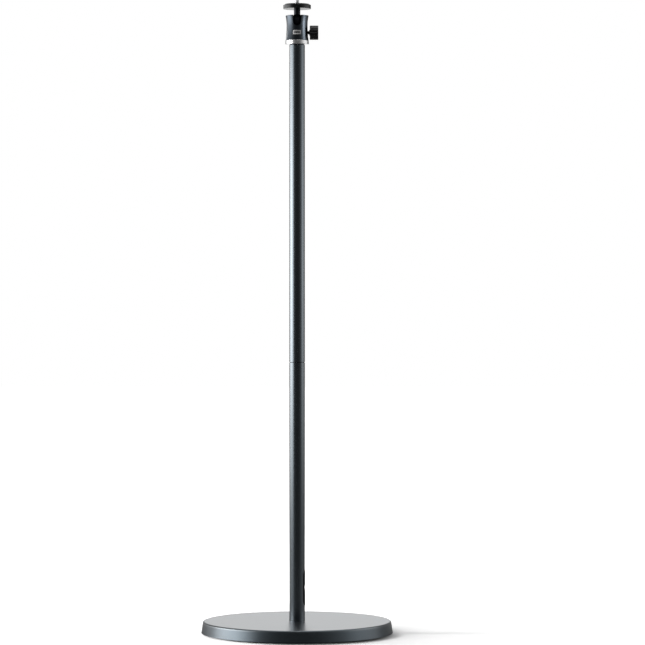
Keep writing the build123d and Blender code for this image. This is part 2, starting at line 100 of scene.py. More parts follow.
# %% A value that varies over a surface
class Value:
    """The output of a node. Arithmetic on it adds Math nodes and gives a new value."""

    def __init__(self, tree, socket):
        self.tree = tree
        self.socket = socket

    def math(self, operation, first, second):
        return self.tree.add("ShaderNodeMath", {"operation": operation}, {0: first, 1: second})

    def __add__(self, other):
        return self.math("ADD", self, other)

    def __radd__(self, other):
        return self.math("ADD", other, self)

    def __sub__(self, other):
        return self.math("SUBTRACT", self, other)

    def __rsub__(self, other):
        return self.math("SUBTRACT", other, self)

    def __mul__(self, other):
        return self.math("MULTIPLY", self, other)

    def __rmul__(self, other):
        return self.math("MULTIPLY", other, self)

    def __lt__(self, other):
        return self.math("LESS_THAN", self, other)

    def __abs__(self):
        return self.math("ABSOLUTE", self, 0.0)


# %% [markdown]
# ## One method for every node
# All other nodes come from one method. It takes the node's type, then its settings, then the
# numbers or links of its sockets, in the order in which a node has to be filled, because a
# setting can change which sockets the node has. The smooth step is used so often, for edges that
# fade, that it has a name of its own.

# %% A node tree that is filled by one method
class NodeTree:
    """The nodes of a material or of the world."""

    def __init__(self, owner):
        owner.use_nodes = True
        self.nodes = owner.node_tree.nodes
        self.links = owner.node_tree.links

    def add(self, kind, settings, sockets, out=0):
        """Add a node, set it up, feed its sockets and return one of its outputs."""
        node = self.nodes.new(kind)
        for name, setting in settings.items():
            setattr(node, name, setting)
        for name, value in sockets.items():
            self.feed(node.inputs[name], value)
        return Value(self, node.outputs[out])

    def feed(self, socket, value):
        """Link a varying value to a socket, or set the socket to a constant."""
        if isinstance(value, Value):
            self.links.new(value.socket, socket)
        else:
            socket.default_value = value

    def rising(self, value, low, high):
        """0 below low, 1 above high, and a smooth step between."""
        ends = {"Value": value, "From Min": low, "From Max": high}
        return self.add("ShaderNodeMapRange", {"interpolation_type": "SMOOTHSTEP"}, ends)


# %% A finish is a material with a few words of its own
class Finish(NodeTree):
    """A material. Its constants sit on the shader, and its patterns read Object coordinates."""

    def __init__(self, name, constants):
        self.material = bpy.data.materials.new(name)
        super().__init__(self.material)
        self.shader = self.nodes["Principled BSDF"]
        for socket, constant in constants.items():
            self.shader.inputs[socket].default_value = constant
        self.place = self.add("ShaderNodeTexCoord", {}, {}, "Object")

    def along(self, axis):
        """One coordinate of the surface point, in metres."""
        return self.add("ShaderNodeSeparateXYZ", {}, {0: self.place}, axis)

    def grain(self, size, detail=2.0, stretch=(1, 1, 1)):
        """Noise from 0 to 1 with grains of about that size in metres, stretched along the axes."""
        scale = [1 / (size * s) for s in stretch]
        place = self.add("ShaderNodeMapping", {}, {"Vector": self.place, "Scale": scale})
        return self.add("ShaderNodeTexNoise", {}, {"Vector": place, "Scale": 1.0, "Detail": detail})

    def between(self, amount, low, high):
        """A colour between two others. Inputs 6 and 7 and output 2 are the Mix node's colour sockets."""
        colours = {0: amount, 6: (*low, 1), 7: (*high, 1)}
        return self.add("ShaderNodeMix", {"data_type": "RGBA"}, colours, 2)

    def relief(self, height, depth):
        """A normal tilted by a height from 0 to 1, where 1 stands for that depth in metres."""
        return self.add("ShaderNodeBump", {}, {"Height": height, "Distance": depth})

    def cover(self, colour, roughness, normal):
        """Feed the shader and hand back the material."""
        self.feed(self.shader.inputs["Base Color"], colour)
        self.feed(self.shader.inputs["Roughness"], roughness)
        self.feed(self.shader.inputs["Normal"], normal)
        return self.material


finishes = {}

# %% [markdown]
# ## Graphite paint
# The base and the pole wear one satin paint, a blue grey so dark that it is seen mostly by what it
# reflects. Its flakes of pigment reflect more than plain paint does, and a little blue, so the
# shader's specular level is doubled and tinted. Sprayed paint is never quite flat: it keeps a fine
# grain and a soft orange peel. Both are noise here, at two sizes, and they move the colour, the
# gloss and the normal by very little. A clear lacquer lies over the pole. On the base it is thin,
# apart from the rim of the skirt, where wet lacquer draws together and dries thicker and glossier.

# %% Graphite paint
graphite_dark = (0.0028, 0.0036, 0.0042)
graphite_light = (0.0044, 0.0054, 0.0062)
flake_strength = 1.0
flake_tint = (0.70, 0.87, 1.0, 1)
pole_roughness = 0.26
base_roughness = 0.33
grain_roughness = 0.06
pole_lacquer = 0.7
base_lacquer = 0.245
rim_lacquer = 0.75
lacquer_roughness = 0.24
paint_relief = 2.5e-6
base_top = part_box("base_cover")[1].z
base_end = base_top + 0.0001
rim_start = (base_top - 0.0034, base_top - 0.0026)
rim_end = (base_top - 0.0008, base_top - 0.0002)


def graphite_paint():
    """Satin paint with a lacquer that is full on the pole, thin on the base and thickest on its rim."""
    flakes = {"Specular IOR Level": flake_strength, "Specular Tint": flake_tint}
    paint = Finish("graphite_paint", {**flakes, "Coat Roughness": lacquer_roughness})
    grain = paint.grain(size=0.0004)
    peel = paint.grain(size=0.0030, detail=1.0)
    height = paint.along("Z")
    on_base = height < base_end
    on_rim = paint.rising(height, *rim_start) - paint.rising(height, *rim_end)
    lacquer = pole_lacquer + (base_lacquer - pole_lacquer) * on_base + rim_lacquer * on_rim
    paint.feed(paint.shader.inputs["Coat Weight"], lacquer)
    colour = paint.between(grain, graphite_dark, graphite_light)
    roughness = pole_roughness + (base_roughness - pole_roughness) * on_base
    roughness = roughness + grain_roughness * (grain - 0.5)
    return paint.cover(colour, roughness, paint.relief(0.9 * peel + 0.1 * grain, paint_relief))


finishes["graphite_paint"] = graphite_paint()
print("paint mixed between", graphite_dark, "and", graphite_light)

# %% [markdown]
# ## Turned metals
# The ring under the head is turned on a lathe and polished, and so are the plugs, pins and bolts
# inside. A lathe leaves fine rings round the axis. Noise that is stretched far along X and Y and
# kept short along Z gives lines at even heights, which on an upright turned piece are those rings.
# A broad, faint stain keeps each metal from looking new. The ring has a trace of clear lacquer,
# so it is a little less metallic than the rest.

# %% Turned metals
lathe_line = 0.00012
lathe_stretch = (800, 800, 1)
lathe_depth = 1.5e-6
stain_size = 0.006
stained_shade = 0.86
lathe_gloss = 0.3
stain_gloss = 0.2
# For each metal: its colour, its roughness and how metallic it is.
metals = {
    "polished_ring": ((0.88, 0.88, 0.88), 0.20, 0.86),
    "plain_steel": ((0.48, 0.48, 0.49), 0.34, 1.0),
    "zinc_steel": ((0.60, 0.61, 0.62), 0.30, 1.0),
    "clamp_brass": ((0.70, 0.55, 0.26), 0.28, 1.0),
    "bright_steel": ((0.72, 0.72, 0.73), 0.18, 1.0),
    "black_steel": ((0.020, 0.021, 0.024), 0.42, 1.0),
}


def turned_metal(name, colour, roughness, metallic):
    """Metal with fine lathe rings and a faint stain."""
    metal = Finish(name, {"Metallic": metallic})
    lines = metal.grain(size=lathe_line, stretch=lathe_stretch)
    stain = metal.grain(size=stain_size)
    stained = tuple(stained_shade * c for c in colour)
    gloss = roughness * (1 + lathe_gloss * (lines - 0.5) + stain_gloss * (stain - 0.5))
    return metal.cover(metal.between(stain, stained, colour), gloss, metal.relief(lines, lathe_depth))


for name, look in metals.items():
    finishes[name] = turned_metal(name, *look)
print("turned metals:", *metals)

# %% [markdown]
# ## Anodised aluminium
# The housing and the platform of the head are blasted with fine glass beads and then dyed in an
# anodising bath. The beads leave tiny even dents, which are noise here. On the housing the dye is
# thin and the metal shines through it, so its shader is a dark blue-grey metal. On the platform
# the dye is black and only the clear skin of oxide reflects, so its shader is no metal at all.

# %% Anodised aluminium
oxide_strength = 0.40
dent_size = 0.00018
dent_depth = 4e-6
dent_gloss = 0.10
dye_cloud_size = 0.005
# For each dye: its dark and its light colour, its roughness and how metallic it is.
dyes = {
    "dark_anodised": ((0.041, 0.048, 0.056), (0.052, 0.061, 0.071), 0.30, 1.0),
    "black_anodised": ((0.003, 0.0035, 0.004), (0.006, 0.007, 0.008), 0.24, 0.0),
}


def anodised(name, dark, light, roughness, metallic):
    """Blasted and dyed aluminium."""
    oxide = Finish(name, {"Metallic": metallic, "Specular IOR Level": oxide_strength})
    dents = oxide.grain(size=dent_size, detail=1.0)
    cloud = oxide.grain(size=dye_cloud_size)
    colour = oxide.between(0.6 * cloud + 0.4 * dents, dark, light)
    gloss = roughness + dent_gloss * (dents - 0.5)
    return oxide.cover(colour, gloss, oxide.relief(dents, dent_depth))


for name, look in dyes.items():
    finishes[name] = anodised(name, *look)
print("anodised:", *dyes)

# %% [markdown]
# ## Rubber and moulded plastic
# The grommets, the pad and the foot ring are matt rubber, the knob is moulded plastic with a fine
# spark-eroded texture, and the seat of the ball is nylon. They differ in grain and gloss more than
# in colour, so one function makes them all, from soft grains of one size that lighten in clouds.

# %% Rubber and moulded plastic
mould_cloud_size = 0.004
mould_cloud_gloss = 0.12
lighter_gain = 1.5
lighter_lift = 0.002
# For each one: its colour, its roughness, the size and the depth of its grains, its specular level.
mouldings = {
    "soft_rubber": ((0.010, 0.010, 0.011), 0.72, 0.0003, 20e-6, 0.2),
    "black_rubber": ((0.002, 0.002, 0.0022), 0.62, 0.0004, 12e-6, 0.04),
    "black_plastic": ((0.003, 0.0036, 0.0046), 0.36, 0.00025, 6e-6, 0.4),
    "white_nylon": ((0.62, 0.61, 0.57), 0.50, 0.0004, 8e-6, 0.5),
}


def moulded(name, colour, roughness, grain_size, grain_depth, specular):
    """Rubber or plastic with the fine grain of its mould."""
    mould = Finish(name, {"Specular IOR Level": specular})
    grains = mould.grain(size=grain_size)
    cloud = mould.grain(size=mould_cloud_size)
    lighter = tuple(lighter_gain * c + lighter_lift for c in colour)
    gloss = roughness + mould_cloud_gloss * (cloud - 0.5)
    tint = mould.between(grains * cloud, colour, lighter)
    return mould.cover(tint, gloss, mould.relief(grains, grain_depth))


for name, look in mouldings.items():
    finishes[name] = moulded(name, *look)
print("moulded:", *mouldings)

# %% [markdown]
# ## Cast iron and zinc sheet
# Two finishes are only seen from below or inside. The weight keeps the coarse skin of its sand
# mould. The sheet that closes the base is galvanised, and zinc freezes in flat crystals, which
# Voronoi cells give: each cell takes its own shade.

# %% Cast iron and zinc sheet
sand_size = 0.0012
sand_depth = 0.0003
iron_dark = (0.055, 0.055, 0.057)
iron_light = (0.13, 0.13, 0.13)
crystals_per_metre = 140.0
zinc_dark = (0.45, 0.46, 0.47)
zinc_light = (0.66, 0.67, 0.68)
scratch_size = 0.0003
scratch_stretch = (40, 1, 1)
scratch_depth = 2e-6


def cast_weight():
    """Rough iron from a sand mould."""
    iron = Finish("cast_weight", {"Metallic": 0.3})
    sand = iron.grain(size=sand_size, detail=4.0)
    colour = iron.between(sand, iron_dark, iron_light)
    return iron.cover(colour, 0.6 + 0.25 * sand, iron.relief(sand, sand_depth))


def zinc_sheet():
    """Galvanised sheet with flat crystals and fine scratches along X."""
    zinc = Finish("zinc_sheet", {"Metallic": 1.0})
    crystals = {"Vector": zinc.place, "Scale": crystals_per_metre}
    cells = zinc.add("ShaderNodeTexVoronoi", {}, crystals, "Color")
    shade = zinc.add("ShaderNodeSeparateColor", {}, {0: cells}, 0)
    scratches = zinc.grain(size=scratch_size, stretch=scratch_stretch)
    colour = zinc.between(shade, zinc_dark, zinc_light)
    gloss = 0.28 + 0.16 * shade + 0.06 * scratches
    return zinc.cover(colour, gloss, zinc.relief(scratches, scratch_depth))


finishes["cast_weight"] = cast_weight()
finishes["zinc_sheet"] = zinc_sheet()
print("hidden finishes:", "cast_weight", "zinc_sheet")

# %% [markdown]
# ## The blank plate
# A small plate is let into the front of the housing. It is enamelled: a white border round a dark
# grey field. The field is a mask worked out from the plate's own box, so its edge stays parallel
# to the plate's edge whatever the plate's size. No picture is needed for two plain rectangles.

# %% Blank plate
plate_low, plate_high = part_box("front_plate")
plate_middle_x = (plate_low.x + plate_high.x) / 2
plate_middle_z = (plate_low.z + plate_high.z) / 2
plate_border = 0.0017
plate_white = (0.90, 0.90, 0.89)
plate_grey = (0.100, 0.102, 0.106)
enamel_depth = 15e-6


def plate_enamel():
    """White enamel with a grey field, which lies a little lower than its border."""
    enamel = Finish("plate_silver", {})
    half_width = plate_high.x - plate_middle_x - plate_border
    half_height = plate_high.z - plate_middle_z - plate_border
    inside_width = abs(enamel.along("X") - plate_middle_x) < half_width
    inside_height = abs(enamel.along("Z") - plate_middle_z) < half_height
    field = inside_width * inside_height
    grain = enamel.grain(size=0.0003)
    colour = enamel.between(field, plate_white, plate_grey)
    return enamel.cover(colour, 0.34 + 0.1 * grain, enamel.relief(grain - 0.8 * field, enamel_depth))


finishes["plate_silver"] = plate_enamel()
print(f"plate {1000 * (plate_high.x - plate_low.x):.1f} x {1000 * (plate_high.z - plate_low.z):.1f} mm")

# %% [markdown]
# ## Give each solid its finish
# The record names a finish for every piece. Each solid keeps its mesh and its place, and only the
# material in its slot is changed.

# %% Finishes on the solids
for subpart in frame["record"]["subparts"]:
    solid = frame["nodes"][subpart["node"]]
    for slot in solid.material_slots:
        slot.material = finishes[subpart["material_slot"]]

# %% [markdown]
# ## Surfaces from rings of points
# The new pieces are all skins over rings: a turned piece is a stack of circles, and a grommet is a
# stack of rounded slots. Whole arrays hold the rings, and one function joins neighbours with quads.
# A skin that meets itself, like a tyre, joins its last ring to its first, and a pin closes each
# end with a fan. The sign of the enclosed volume shows whether the faces point outwards.

# %% Join rings into a closed mesh
crease_deg = 40


def skin(name, rings, ends=None):
    """Join rings[i, j] to rings[i + 1, j] with quads, each ring closed on itself."""
    count, around, _ = rings.shape
    index = np.arange(count * around).reshape(count, around)
    beside = np.roll(index, -1, axis=1)
    above = np.roll(index, -1, axis=0)
    diagonal = np.roll(beside, -1, axis=0)
    quads = np.stack([index, beside, diagonal, above], axis=-1)
    points = rings.reshape(-1, 3)
    faces = []
    if ends is not None:
        quads = quads[:-1]
        points = np.vstack([points, ends])
        first_end = np.full(around, len(points) - 2)
        last_end = np.full(around, len(points) - 1)
        faces += np.stack([beside[0], index[0], first_end], axis=-1).tolist()
        faces += np.stack([index[-1], beside[-1], last_end], axis=-1).tolist()
    quads = quads.reshape(-1, 4)
    faces += quads.tolist()
    a, b, c, d = (points[quads[:, corner]] for corner in range(4))
    volume = np.einsum("ij,ij->", a, np.cross(b, c)) + np.einsum("ij,ij->", a, np.cross(c, d))
    if volume < 0:
        faces = [face[::-1] for face in faces]
    mesh = bpy.data.meshes.new(name)
    mesh.from_pydata(points.tolist(), [], faces)
    mesh.shade_smooth()
    mesh.set_sharp_from_angle(angle=math.radians(crease_deg))
    piece = bpy.data.objects.new(name, mesh)
    bpy.context.scene.collection.objects.link(piece)
    print(f"{name}: {len(points)} points, {len(faces)} faces")
    return piece


def stand_in(piece, node, body, slot):
    """Let a new piece stand for a solid: same body, same finish."""
    piece.data.materials.append(finishes[slot])
    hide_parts(node)
    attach(piece, body)


# %% [markdown]
# ## Threads
# The camera screw has a 1/4 inch thread with 20 turns to the inch, and the lock screw an M5 thread
# with a pitch of 0.8 mm. A thread could be a swept profile, but then its ends need cutting. As a
# surface over angle and height it needs none: the radius falls and rises with the phase, which is
# the height in pitches minus the angle in turns, and an envelope trims it to the blank's shape.

# %% Thread on a turned blank
groove_reach = 1.35
flank_slope = 1.6


def circle(around):
    """Angles evenly round a circle, without the last one, which is the first again."""
    return np.linspace(0, 2 * math.pi, around, endpoint=False)


def threaded_rings(height, envelope, crest, pitch, depth, around):
    """Rings up the axis, with radius = min(envelope, crest - depth * groove(phase)).

    groove(phase) = reach - slope * |2 * phase - 1|, kept between 0 and 1, which gives a flat bottom
    and a flat crest with straight flanks between them.
    """
    angle = circle(around)
    phase = (height[:, None] / pitch - angle[None, :] / (2 * math.pi)) % 1.0
    groove = np.clip(groove_reach - flank_slope * np.abs(2 * phase - 1), 0, 1)
    radius = np.minimum(envelope[:, None], crest - depth * groove)
    upright = np.broadcast_to(height[:, None], radius.shape)
    return np.stack([radius * np.cos(angle), radius * np.sin(angle), upright], axis=-1)


# %% Camera screw
stud_low, stud_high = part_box("camera_stud")
pad_low, pad_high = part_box("platform_pad")
stud_radius = stud_high.x
stud_pitch = 0.0254 / 20
stud_depth = 0.00072
stud_chamfer = 0.0007
stud_neck_radius = stud_radius - 0.0006
stud_thread_start = pad_high.z + 0.0005
stud_ring_count = 190

stud_height = np.linspace(stud_low.z, stud_high.z, stud_ring_count)
stud_blank = np.where(stud_height < stud_thread_start, stud_neck_radius, stud_radius)
stud_blank = np.minimum(stud_blank, stud_radius - stud_chamfer + (stud_high.z - stud_height))
stud_rings = threaded_rings(stud_height, stud_blank, stud_radius, stud_pitch, stud_depth, around=64)
stud_ends = [(0, 0, stud_low.z), (0, 0, stud_high.z)]
camera_screw = skin("camera_screw_thread", stud_rings, stud_ends)
stand_in(camera_screw, "camera_stud", "platform", "bright_steel")

# %% [markdown]
# The lock screw is the same surface laid along X: the cyclic swap of the axes, height to X, X to Y
# and Y to Z, turns the piece without mirroring it, so the thread stays right-handed. Its envelope
# is the cone at the inner end and then the plain shank.

# %% Lock screw
screw_low, screw_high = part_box("lock_screw")
screw_axis = (screw_low.z + screw_high.z) / 2
screw_radius = screw_high.z - screw_axis
screw_tip_radius = 0.0006
screw_cone_slope = 0.5
screw_pitch = 0.0008
screw_depth = 0.00045
screw_ring_count = 420

screw_along = np.linspace(screw_low.x, screw_high.x, screw_ring_count)
screw_blank = np.minimum(screw_tip_radius + screw_cone_slope * (screw_along - screw_low.x), screw_radius)
screw_rings = threaded_rings(screw_along, screw_blank, screw_radius, screw_pitch, screw_depth, around=48)
screw_rings = np.roll(screw_rings, 1, axis=-1) + (0, 0, screw_axis)
screw_ends = [(screw_low.x, 0, screw_axis), (screw_high.x, 0, screw_axis)]
lock_screw = skin("lock_screw_thread", screw_rings, screw_ends)
stand_in(lock_screw, "lock_screw", "screw", "black_steel")

# %% [markdown]
# ## Ribbed rubber rings
# The pad on the platform and the ring under the base are moulded with round ribs that grip. Both
# are a ring with one plain face and one ribbed face. The profile runs once round the ring's
# section, and turning it about the pole's axis gives the surface.

# %% Ring with ribs on one face
points_per_rib = 16


def ribbed_profile(inner, outer, back, face, ribs, depth):
    """Closed profile of (radius, height): the plain back, then the ribbed face.

    The face dips towards the back by depth * (1 - sqrt(wave)), where the wave is a cosine between
    0 and 1 with one hump to a rib. That makes round ribs with sharp valleys.
    """
    radius = np.linspace(inner, outer, points_per_rib * ribs + 1)
    wave = 0.5 - 0.5 * np.cos(2 * math.pi * ribs * (radius - inner) / (outer - inner))
    inward = math.copysign(depth, back - face)
    ribbed = np.stack([radius, face + inward * (1 - np.sqrt(wave))], axis=-1)
    plain = np.stack([radius[::points_per_rib], np.full(ribs + 1, back)], axis=-1)
    return np.vstack([plain, ribbed[::-1]])


def turned(profile, around):
    """Turn a profile about the Z axis: each (radius, height) becomes a ring of points."""
    angle = circle(around)
    radius = profile[:, 0, None]
    upright = np.broadcast_to(profile[:, 1, None], (len(profile), around))
    return np.stack([radius * np.cos(angle), radius * np.sin(angle), upright], axis=-1)


# %% Pad on the platform and ring under the base
pad_hole = stud_radius + 0.0003
pad_rib_depth = 0.00035
pad_profile = ribbed_profile(pad_hole, pad_high.x, pad_low.z, pad_high.z, ribs=10, depth=pad_rib_depth)
pad = skin("platform_pad_ribs", turned(pad_profile, around=128))
stand_in(pad, "platform_pad", "platform", "soft_rubber")

foot_low, foot_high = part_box("foot_ring")
foot_width = 0.025
foot_hole = foot_high.x - foot_width
foot_rib_depth = 0.0005
foot_profile = ribbed_profile(foot_hole, foot_high.x, foot_high.z, foot_low.z, ribs=8, depth=foot_rib_depth)
foot = skin("foot_ring_ribs", turned(foot_profile, around=192))
stand_in(foot, "foot_ring", "stand", "soft_rubber")

# %% [markdown]
# ## Cable grommets
# Each cable outlet is a long slot closed by a rubber grommet with one round hole. Its section is a
# flat spool: a lip outside, a neck in the tube's wall and a lip inside. Every ring of the skin is a
# blend between the hole's circle and a rounded slot, laid on a cylinder round the pole's axis. The
# outer lip is rounded over, which is what catches the light along the side of the pole. The lower
# outlet faces right and the upper one faces back, a quarter turn further.

# %% Outlines of the slot and of the hole
slot_straight = 0.018
slot_radius = 0.006
lip_radius = 0.007
cable_hole_radius = 0.0035
outline_count = 120
side = 2 * slot_straight


def slot_outline(radius):
    """Even steps along two straight sides and two half circles: up the right, over, down and under."""
    arc = math.pi * radius
    walked = np.arange(outline_count) / outline_count * (2 * side + 2 * arc)
    up_right = np.clip(walked, 0, side)
    over_top = np.clip(walked - side, 0, arc)
    down_left = np.clip(walked - side - arc, 0, side)
    under = np.clip(walked - 2 * side - arc, 0, arc)
    angle = (over_top + under) / radius
    shift = up_right - down_left - slot_straight
    return radius * np.cos(angle), radius * np.sin(angle) + shift


def hole_outline(radius):
    """Points round a circle, turned so that they face the slot's points of the same number."""
    start = -math.pi * side / (2 * side + 2 * math.pi * lip_radius)
    angle = start + circle(outline_count)
    return radius * np.cos(angle), radius * np.sin(angle)


slot_length = 2 * (slot_straight + slot_radius)
print(f"slot {1000 * slot_length:.0f} mm long, hole {2000 * cable_hole_radius:.0f} mm wide")

# %% Grommet from its section
tube_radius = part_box("pole_lower_tube")[1].x
tube_wall = 0.0015
tube_bore = tube_radius - tube_wall
lip_proud = 0.0004
lip_face = tube_radius + lip_proud
inner_lip = 0.0020
lip_inside = tube_bore - inner_lip
hole_edge = 0.0003
quarter = np.linspace(0, math.pi / 2, 7)
level = np.ones(len(quarter))

# A row of the section is the spread from hole to slot, the slot's radius, the hole's radius and
# the distance from the pole's axis.
hole_round = np.stack([
    0 * level,
    slot_radius * level,
    cable_hole_radius + hole_edge * (1 - np.cos(quarter)),
    lip_face - hole_edge * (1 - np.sin(quarter)),
], axis=-1)
lip_round = np.stack([
    level,
    lip_radius - lip_proud * (1 - np.sin(quarter)),
    cable_hole_radius * level,
    lip_face - lip_proud * (1 - np.cos(quarter)),
], axis=-1)
spool = [
    (1, slot_radius, cable_hole_radius, tube_radius),
    (1, slot_radius, cable_hole_radius, tube_bore),
    (1, lip_radius, cable_hole_radius, tube_bore),
    (1, lip_radius, cable_hole_radius, lip_inside),
    (0, slot_radius, cable_hole_radius, lip_inside),
]
section = np.vstack([hole_round, lip_round, spool])
print(len(section), "rings in a grommet")


def grommet_rings(middle):
    """Rings from the hole over the outer lip, down the neck, round the inner lip and back up the hole.

    A ring is (1 - spread) * hole + spread * slot, bent round the pole: outwards is the root of
    distance squared minus sideways squared.
    """
    spread, slot, hole, distance = section.T[:, :, None]
    hole_sideways, hole_upwards = hole_outline(hole)
    slot_sideways, slot_upwards = slot_outline(slot)
    sideways = (1 - spread) * hole_sideways + spread * slot_sideways
    upwards = (1 - spread) * hole_upwards + spread * slot_upwards + middle
    outwards = np.sqrt(distance**2 - sideways**2)
    return np.stack([outwards, sideways, upwards], axis=-1)


# %% Both grommets
lower_low, lower_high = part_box("lower_cable_grommet")
lower_rings = grommet_rings((lower_low.z + lower_high.z) / 2)
lower_grommet = skin("lower_grommet_spool", lower_rings)
stand_in(lower_grommet, "lower_cable_grommet", "stand", "black_rubber")

upper_low, upper_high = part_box("upper_cable_grommet")
upper_rings = grommet_rings((upper_low.z + upper_high.z) / 2)
quarter_turn = np.array([(0, 1, 0), (-1, 0, 0), (0, 0, 1)])
upper_grommet = skin("upper_grommet_spool", upper_rings @ quarter_turn)
stand_in(upper_grommet, "upper_cable_grommet", "stand", "black_rubber")

# %% [markdown]
# ## The floor
# The stand is shot on white paper, which is narrow beside the stand and grows wider towards the
# wall. The lower part of the pole mirrors the floor beside it, so the paper's width decides how
# light the pole's flanks are there.

# %% Sheet of paper
paper_near = 0.45
paper_far = 12.0
paper_half = 0.62
paper_far_half = 1.90

floor_corners = [
    (-paper_half, -paper_near, 0),
    (paper_half, -paper_near, 0),
    (paper_half, paper_near, 0),
    (paper_far_half, paper_far, 0),
    (-paper_far_half, paper_far, 0),
    (-paper_half, paper_near, 0),
]
floor_mesh = bpy.data.meshes.new("floor")
floor_mesh.from_pydata(floor_corners, [], [(0, 1, 2, 3, 4, 5)])
floor = bpy.data.objects.new("floor", floor_mesh)
bpy.context.scene.collection.objects.link(floor)
print("floor", 2 * paper_half, "m wide at the stand")

# %% [markdown]
# The paper takes the shadow as any diffuse surface does. A share of plain white is added for rays
# from the camera, and it grows with the distance from the base, so that the paper meets the white
# of the world without an edge. Near the base this white is left out, over a disc whose middle sits
# a little to the right of the pole and in front of it, which is a painted shadow there. Close under
# the base the paper's colour is darker too, a painted contact shadow where two things touch. A ray
# from a glossy surface is shown a small share of the paper near the stand and all of it far behind.
# From below the paper is clear, so that the underside of the base can be seen.

# %% White paper
paper_white = 0.90
# The painted shadows on the paper centre on this point, a little right of and in front of the pole.
shade_middle = (0.010, -0.030, 0)
# Depth and fade of the painted contact shadow under the base.
contact_shade = 0.75
contact_fade = (base_radius - 0.030, base_radius - 0.005)
# The paper's own white near the stand, left out within the painted shadow's fade round the base.
own_white_near = 0.20
painted_shadow_fade = (base_radius - 0.024, base_radius + 0.004)
own_white_far = 0.75
far_fade = (0.12, 0.60)
mirrored_near = 0.20
mirrored_far = 1.0
mirrored_fade = (1.0, 6.0)
fibre_scale = 900.0
fibre_depth = 2e-6


def ray_kinds(tree):
    """Two masks: 1 for a ray from the camera or through a clear surface, and 1 for a glossy ray."""
    names = ["Is Camera Ray", "Is Transmission Ray", "Is Glossy Ray"]
    camera_ray, clear_ray, glossy_ray = (tree.add("ShaderNodeLightPath", {}, {}, n) for n in names)
    return camera_ray.math("MAXIMUM", camera_ray, clear_ray), glossy_ray


def white_paper():
    """Lit paper plus a white of its own, both by distance from the shade's middle, clear from below."""
    material = bpy.data.materials.new("white_sweep")
    paper = NodeTree(material)
    paper.nodes.remove(paper.nodes["Principled BSDF"])
    place = paper.add("ShaderNodeTexCoord", {}, {}, "Object")
    span = {0: place, 1: shade_middle}
    from_shade = paper.add("ShaderNodeVectorMath", {"operation": "DISTANCE"}, span, "Value")
    direct_ray, glossy_ray = ray_kinds(paper)
    mirrored = paper.rising(from_shade, *mirrored_fade)
    mirrored = mirrored_near + (mirrored_far - mirrored_near) * mirrored
    # Painted contact shadow: the paper's colour is darkened under and just round the base.
    painted_contact_shadow = 1 - contact_shade * (1 - paper.rising(from_shade, *contact_fade))
    shown = paper_white * painted_contact_shadow * (1 - glossy_ray * (1 - mirrored))
    # Painted shadow: the paper's own white is left out round the base, furthest to the right and front.
    own_white = own_white_near * paper.rising(from_shade, *painted_shadow_fade)
    own_white = own_white + own_white_far * paper.rising(from_shade, *far_fade)
    own_white = own_white * (direct_ray + glossy_ray * mirrored)
    fibre = paper.add("ShaderNodeTexNoise", {}, {"Vector": place, "Scale": fibre_scale, "Detail": 2.0})
    relief = paper.add("ShaderNodeBump", {}, {"Height": fibre, "Distance": fibre_depth})
    lit = paper.add("ShaderNodeBsdfDiffuse", {}, {"Color": shown, "Normal": relief})
    own = paper.add("ShaderNodeEmission", {}, {"Color": own_white})
    both = paper.add("ShaderNodeAddShader", {}, {0: lit, 1: own})
    from_below = paper.add("ShaderNodeNewGeometry", {}, {}, "Backfacing")
    clear = paper.add("ShaderNodeBsdfTransparent", {}, {})
    sides = paper.add("ShaderNodeMixShader", {}, {0: from_below, 1: both, 2: clear})
    paper.feed(paper.nodes["Material Output"].inputs["Surface"], sides)
    return material


floor_mesh.materials.append(white_paper())
print("paper shaded within", round(contact_fade[1], 3), "m of", shade_middle)

# %% [markdown]
# ## The world
# The camera sees plain white all round. A glossy ray sees a studio instead: light boards at both
# sides, a glow low on the left, a white wall straight behind the stand with a dark gap between it
# and each board, and a light ceiling. The room behind the camera and below the floor is dim. A
# dark satin pole shows that as a dark middle between light flanks. Each part is a smooth step of
# the ray's own direction. All other rays get a soft light, which is stronger from the back.

# %% World
dim_room = 0.10
side_board = 0.80
board_fade = (-1.0, -0.2)
dark_gap = 0.84
gap_fade = (0.26, 0.52)
left_glow = 1.45
glow_front_fade = (-0.85, -0.20)
glow_back_fade = (0.55, 0.95)
glow_right_fade = (-0.3, 0.0)
glow_top_fade = (0.05, 0.25)
floor_line_fade = (-0.12, 0.04)
back_wall = 1.43
wall_front_fade = (0.0, 0.3)
wall_side_fade = (0.06, 0.22)
ceiling_light = 0.9
ceiling_fade = (0.75, 0.95)
front_light = 0.08
back_light = 0.50
soft_light_fade = (-0.6, 0.8)


